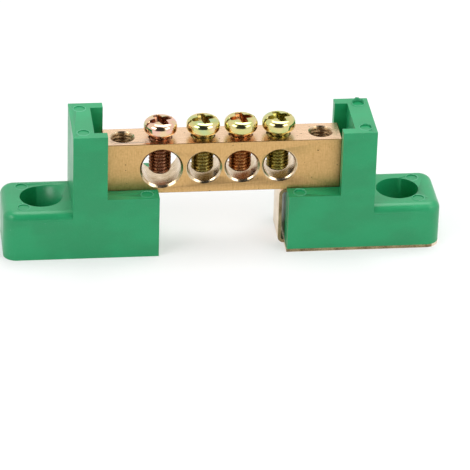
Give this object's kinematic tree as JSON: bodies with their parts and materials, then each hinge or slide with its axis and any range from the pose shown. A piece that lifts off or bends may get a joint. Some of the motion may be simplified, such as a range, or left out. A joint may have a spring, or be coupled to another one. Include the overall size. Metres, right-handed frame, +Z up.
{
  "type": "earth terminal bar",
  "caption": "Bored brass bar with wire clamp screws, held level in moulded green foot brackets, with a metal bonding strap under one foot.",
  "frame": {"origin": "on the mounting surface, below the middle of the bar", "axes": "+X along the bar towards the bracket with the strap, +Z up from the mounting surface, wires enter from -Y"},
  "size_m": [0.0964, 0.0166, 0.0297],
  "materials": {
    "brass": "milled, fine grain",
    "green_plastic": "moulded, satin gloss",
    "yellow_zinc": "iridescent yellow passivated zinc",
    "bright_zinc": "zinc plated",
    "strap_metal": "rolled sheet, pale"
  },
  "bodies": {
    "base": {"brass_bar": "brass", "left_bracket": "green_plastic", "right_bracket": "green_plastic", "left_fixing_screw": "bright_zinc", "right_fixing_screw": "bright_zinc", "earth_strap": "strap_metal"},
    "clamp_screw_1": {"terminal_screw_1": "yellow_zinc"},
    "clamp_screw_2": {"terminal_screw_2": "yellow_zinc"},
    "clamp_screw_3": {"terminal_screw_3": "yellow_zinc"},
    "clamp_screw_4": {"terminal_screw_4": "yellow_zinc"}
  },
  "joints": [
    {"name": "screw_1_travel", "type": "slide", "parent": "base", "child": "clamp_screw_1", "axis": [0, 0, 1], "range_m": [-0.00085, 0.0067]},
    {"name": "screw_2_travel", "type": "slide", "parent": "base", "child": "clamp_screw_2", "axis": [0, 0, 1], "range_m": [-0.0005, 0.0059]},
    {"name": "screw_3_travel", "type": "slide", "parent": "base", "child": "clamp_screw_3", "axis": [0, 0, 1], "range_m": [-0.0005, 0.0059]},
    {"name": "screw_4_travel", "type": "slide", "parent": "base", "child": "clamp_screw_4", "axis": [0, 0, 1], "range_m": [-0.0005, 0.0059]}
  ]
}
